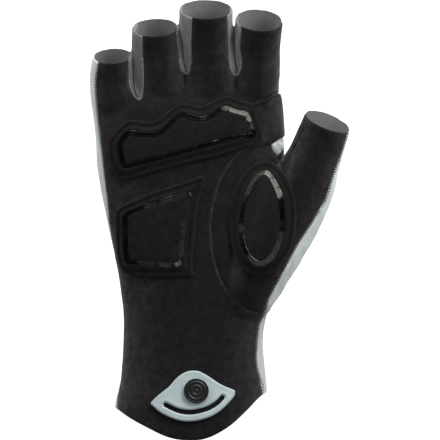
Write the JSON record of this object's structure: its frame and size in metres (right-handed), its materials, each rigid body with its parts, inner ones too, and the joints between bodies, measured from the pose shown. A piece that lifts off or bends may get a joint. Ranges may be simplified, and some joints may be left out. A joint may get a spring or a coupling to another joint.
{
  "type": "paddling glove",
  "caption": "Right-hand half-finger paddling glove with dark suede palm, padded grip patches, pale back and a snap patch on the cuff, in worn form.",
  "frame": {"origin": "centre of the wrist opening", "axes": "+Z from the wrist to the fingers, the palm faces -Y, the thumb is towards +X"},
  "size_m": [0.1304, 0.053, 0.2193],
  "materials": {
    "suede": "matt brushed synthetic suede",
    "silver_knit": "smooth stretch fabric, faint sheen",
    "warm_knit": "matt stretch fabric",
    "grey_strip": "matt stretch fabric",
    "gloss_print": "glossy grip print",
    "pale_rubber": "satin moulded rubber",
    "snap_black": "satin"
  },
  "bodies": {
    "root": {"palm_panel": "suede", "index_overlay": "suede", "thumb_panel": "suede", "thumb_gusset": "suede", "fourchette_little_ring": "grey_strip", "fourchette_ring_middle": "grey_strip", "fourchette_middle_index": "grey_strip", "back_panel": "silver_knit", "cuff_back": "warm_knit", "knuckle_pad": "suede", "heel_pad": "suede", "thumb_pad": "suede", "knuckle_print": "gloss_print", "heel_print": "gloss_print", "thumb_print": "gloss_print", "snap_patch": "pale_rubber", "snap": "snap_black"}
  },
  "joints": []
}
